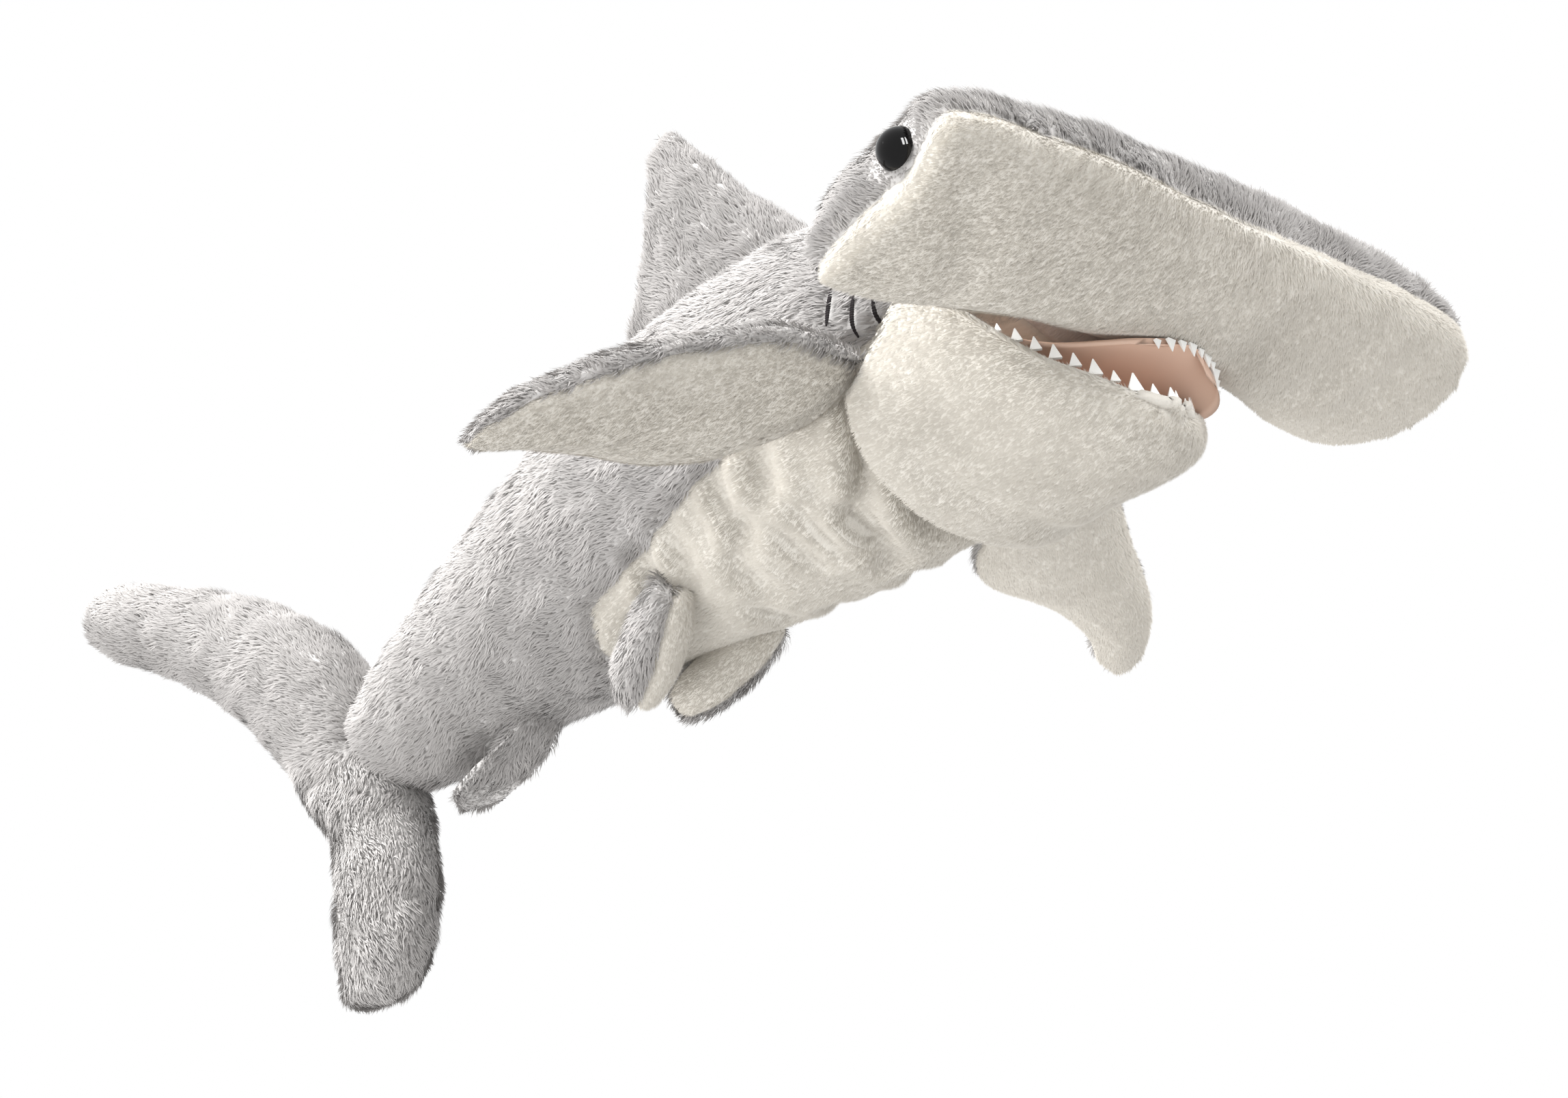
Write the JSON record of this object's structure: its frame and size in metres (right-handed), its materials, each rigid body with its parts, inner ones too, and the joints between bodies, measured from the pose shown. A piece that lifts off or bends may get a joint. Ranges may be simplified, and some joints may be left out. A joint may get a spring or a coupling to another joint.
{
  "type": "plush hammerhead shark",
  "caption": "Stuffed plush hammerhead shark with a wide hammer head, an open felt-toothed mouth, and soft fins that flap and spring back.",
  "frame": {"origin": "on the surface it rests on, under the middle of its bounding box", "axes": "nose towards -Y, the shark's left side +X, up +Z; it rests on its chin and the lower lobe of its tail"},
  "size_m": [0.256, 0.3996, 0.1727],
  "materials": {
    "grey_pile": "short grey plush pile with paler tips",
    "cream_pile": "fine cream velvet pile",
    "mouth_felt": "brushed tan suede felt",
    "tooth_felt": "thin white felt",
    "thread": "dark grey satin stitch",
    "stuffing": "loose polyester fibre",
    "eye": "polished black bead",
    "washer": "moulded white plastic"
  },
  "bodies": {
    "torso": {"body_stuffing": "stuffing", "back_panel_right": "grey_pile", "back_panel_left": "grey_pile", "belly_panel": "cream_pile", "gill_stitches_right": "thread", "gill_stitches_left": "thread", "head_stuffing": "stuffing", "crown_panel": "grey_pile", "cheek_panel_right": "cream_pile", "cheek_panel_left": "cream_pile", "hammer_stuffing": "stuffing", "hammer_top_panel": "grey_pile", "hammer_under_panel": "cream_pile", "hammer_end_right": "grey_pile", "hammer_end_left": "grey_pile", "eye_right": "eye", "eye_left": "eye", "eye_washer_right": "washer", "eye_washer_left": "washer", "palate_lining": "mouth_felt", "upper_teeth": "tooth_felt"},
    "jaw": {"jaw_panel": "cream_pile", "jaw_stuffing": "stuffing", "jaw_lining": "mouth_felt", "lower_teeth": "tooth_felt"},
    "pectoral_right": {"pectoral_top_right": "grey_pile", "pectoral_under_right": "cream_pile", "pectoral_stuffing_right": "stuffing"},
    "pectoral_left": {"pectoral_top_left": "grey_pile", "pectoral_under_left": "cream_pile", "pectoral_stuffing_left": "stuffing"},
    "pelvic_right": {"pelvic_outer_right": "grey_pile", "pelvic_inner_right": "cream_pile", "pelvic_stuffing_right": "stuffing"},
    "pelvic_left": {"pelvic_outer_left": "grey_pile", "pelvic_inner_left": "cream_pile", "pelvic_stuffing_left": "stuffing"},
    "dorsal_fin": {"dorsal_cover_right": "grey_pile", "dorsal_cover_left": "grey_pile", "dorsal_stuffing": "stuffing"},
    "anal_fin": {"anal_cover_right": "grey_pile", "anal_cover_left": "grey_pile", "anal_stuffing": "stuffing"},
    "tail_fin": {"tail_cover_right": "grey_pile", "tail_cover_left": "grey_pile", "tail_stuffing": "stuffing"}
  },
  "joints": [
    {"name": "jaw_hinge", "type": "hinge", "parent": "torso", "child": "jaw", "pos_m": [-0.00179, -0.10263, 0.02956], "axis": [0.9932, -0.0937, -0.0697], "range_deg": [-7, 4], "stiffness_Nm_per_rad": 0.8},
    {"name": "pectoral_flap_right", "type": "hinge", "parent": "torso", "child": "pectoral_right", "pos_m": [-0.049, -0.07921, 0.04586], "axis": [0.1, 0.9889, -0.1099], "range_deg": [-20, 20], "stiffness_Nm_per_rad": 0.5},
    {"name": "pectoral_flap_left", "type": "hinge", "parent": "torso", "child": "pectoral_left", "pos_m": [0.049, -0.07921, 0.04586], "axis": [0.1, -0.9889, 0.1099], "range_deg": [-20, 20], "stiffness_Nm_per_rad": 0.5},
    {"name": "pelvic_flap_right", "type": "hinge", "parent": "torso", "child": "pelvic_right", "pos_m": [-0.026, -0.0097, 0.03171], "axis": [0.5044, 0.1497, 0.8504], "range_deg": [-6, 18], "stiffness_Nm_per_rad": 0.06},
    {"name": "pelvic_flap_left", "type": "hinge", "parent": "torso", "child": "pelvic_left", "pos_m": [0.026, -0.0097, 0.03171], "axis": [0.5044, -0.1497, -0.8504], "range_deg": [-6, 18], "stiffness_Nm_per_rad": 0.06},
    {"name": "dorsal_flop", "type": "hinge", "parent": "torso", "child": "dorsal_fin", "pos_m": [0, -0.04554, 0.11983], "axis": [0, 0.9848, 0.1736], "range_deg": [-14, 14], "stiffness_Nm_per_rad": 0.5},
    {"name": "anal_flop", "type": "hinge", "parent": "torso", "child": "anal_fin", "pos_m": [0, 0.0593, 0.03778], "axis": [0, 0.9988, -0.0485], "range_deg": [-15, 15], "stiffness_Nm_per_rad": 0.06},
    {"name": "tail_swing", "type": "hinge", "parent": "torso", "child": "tail_fin", "pos_m": [0, 0.10043, 0.06941], "axis": [0, 0.1908, 0.9816], "range_deg": [-20, 20], "stiffness_Nm_per_rad": 0.8}
  ]
}
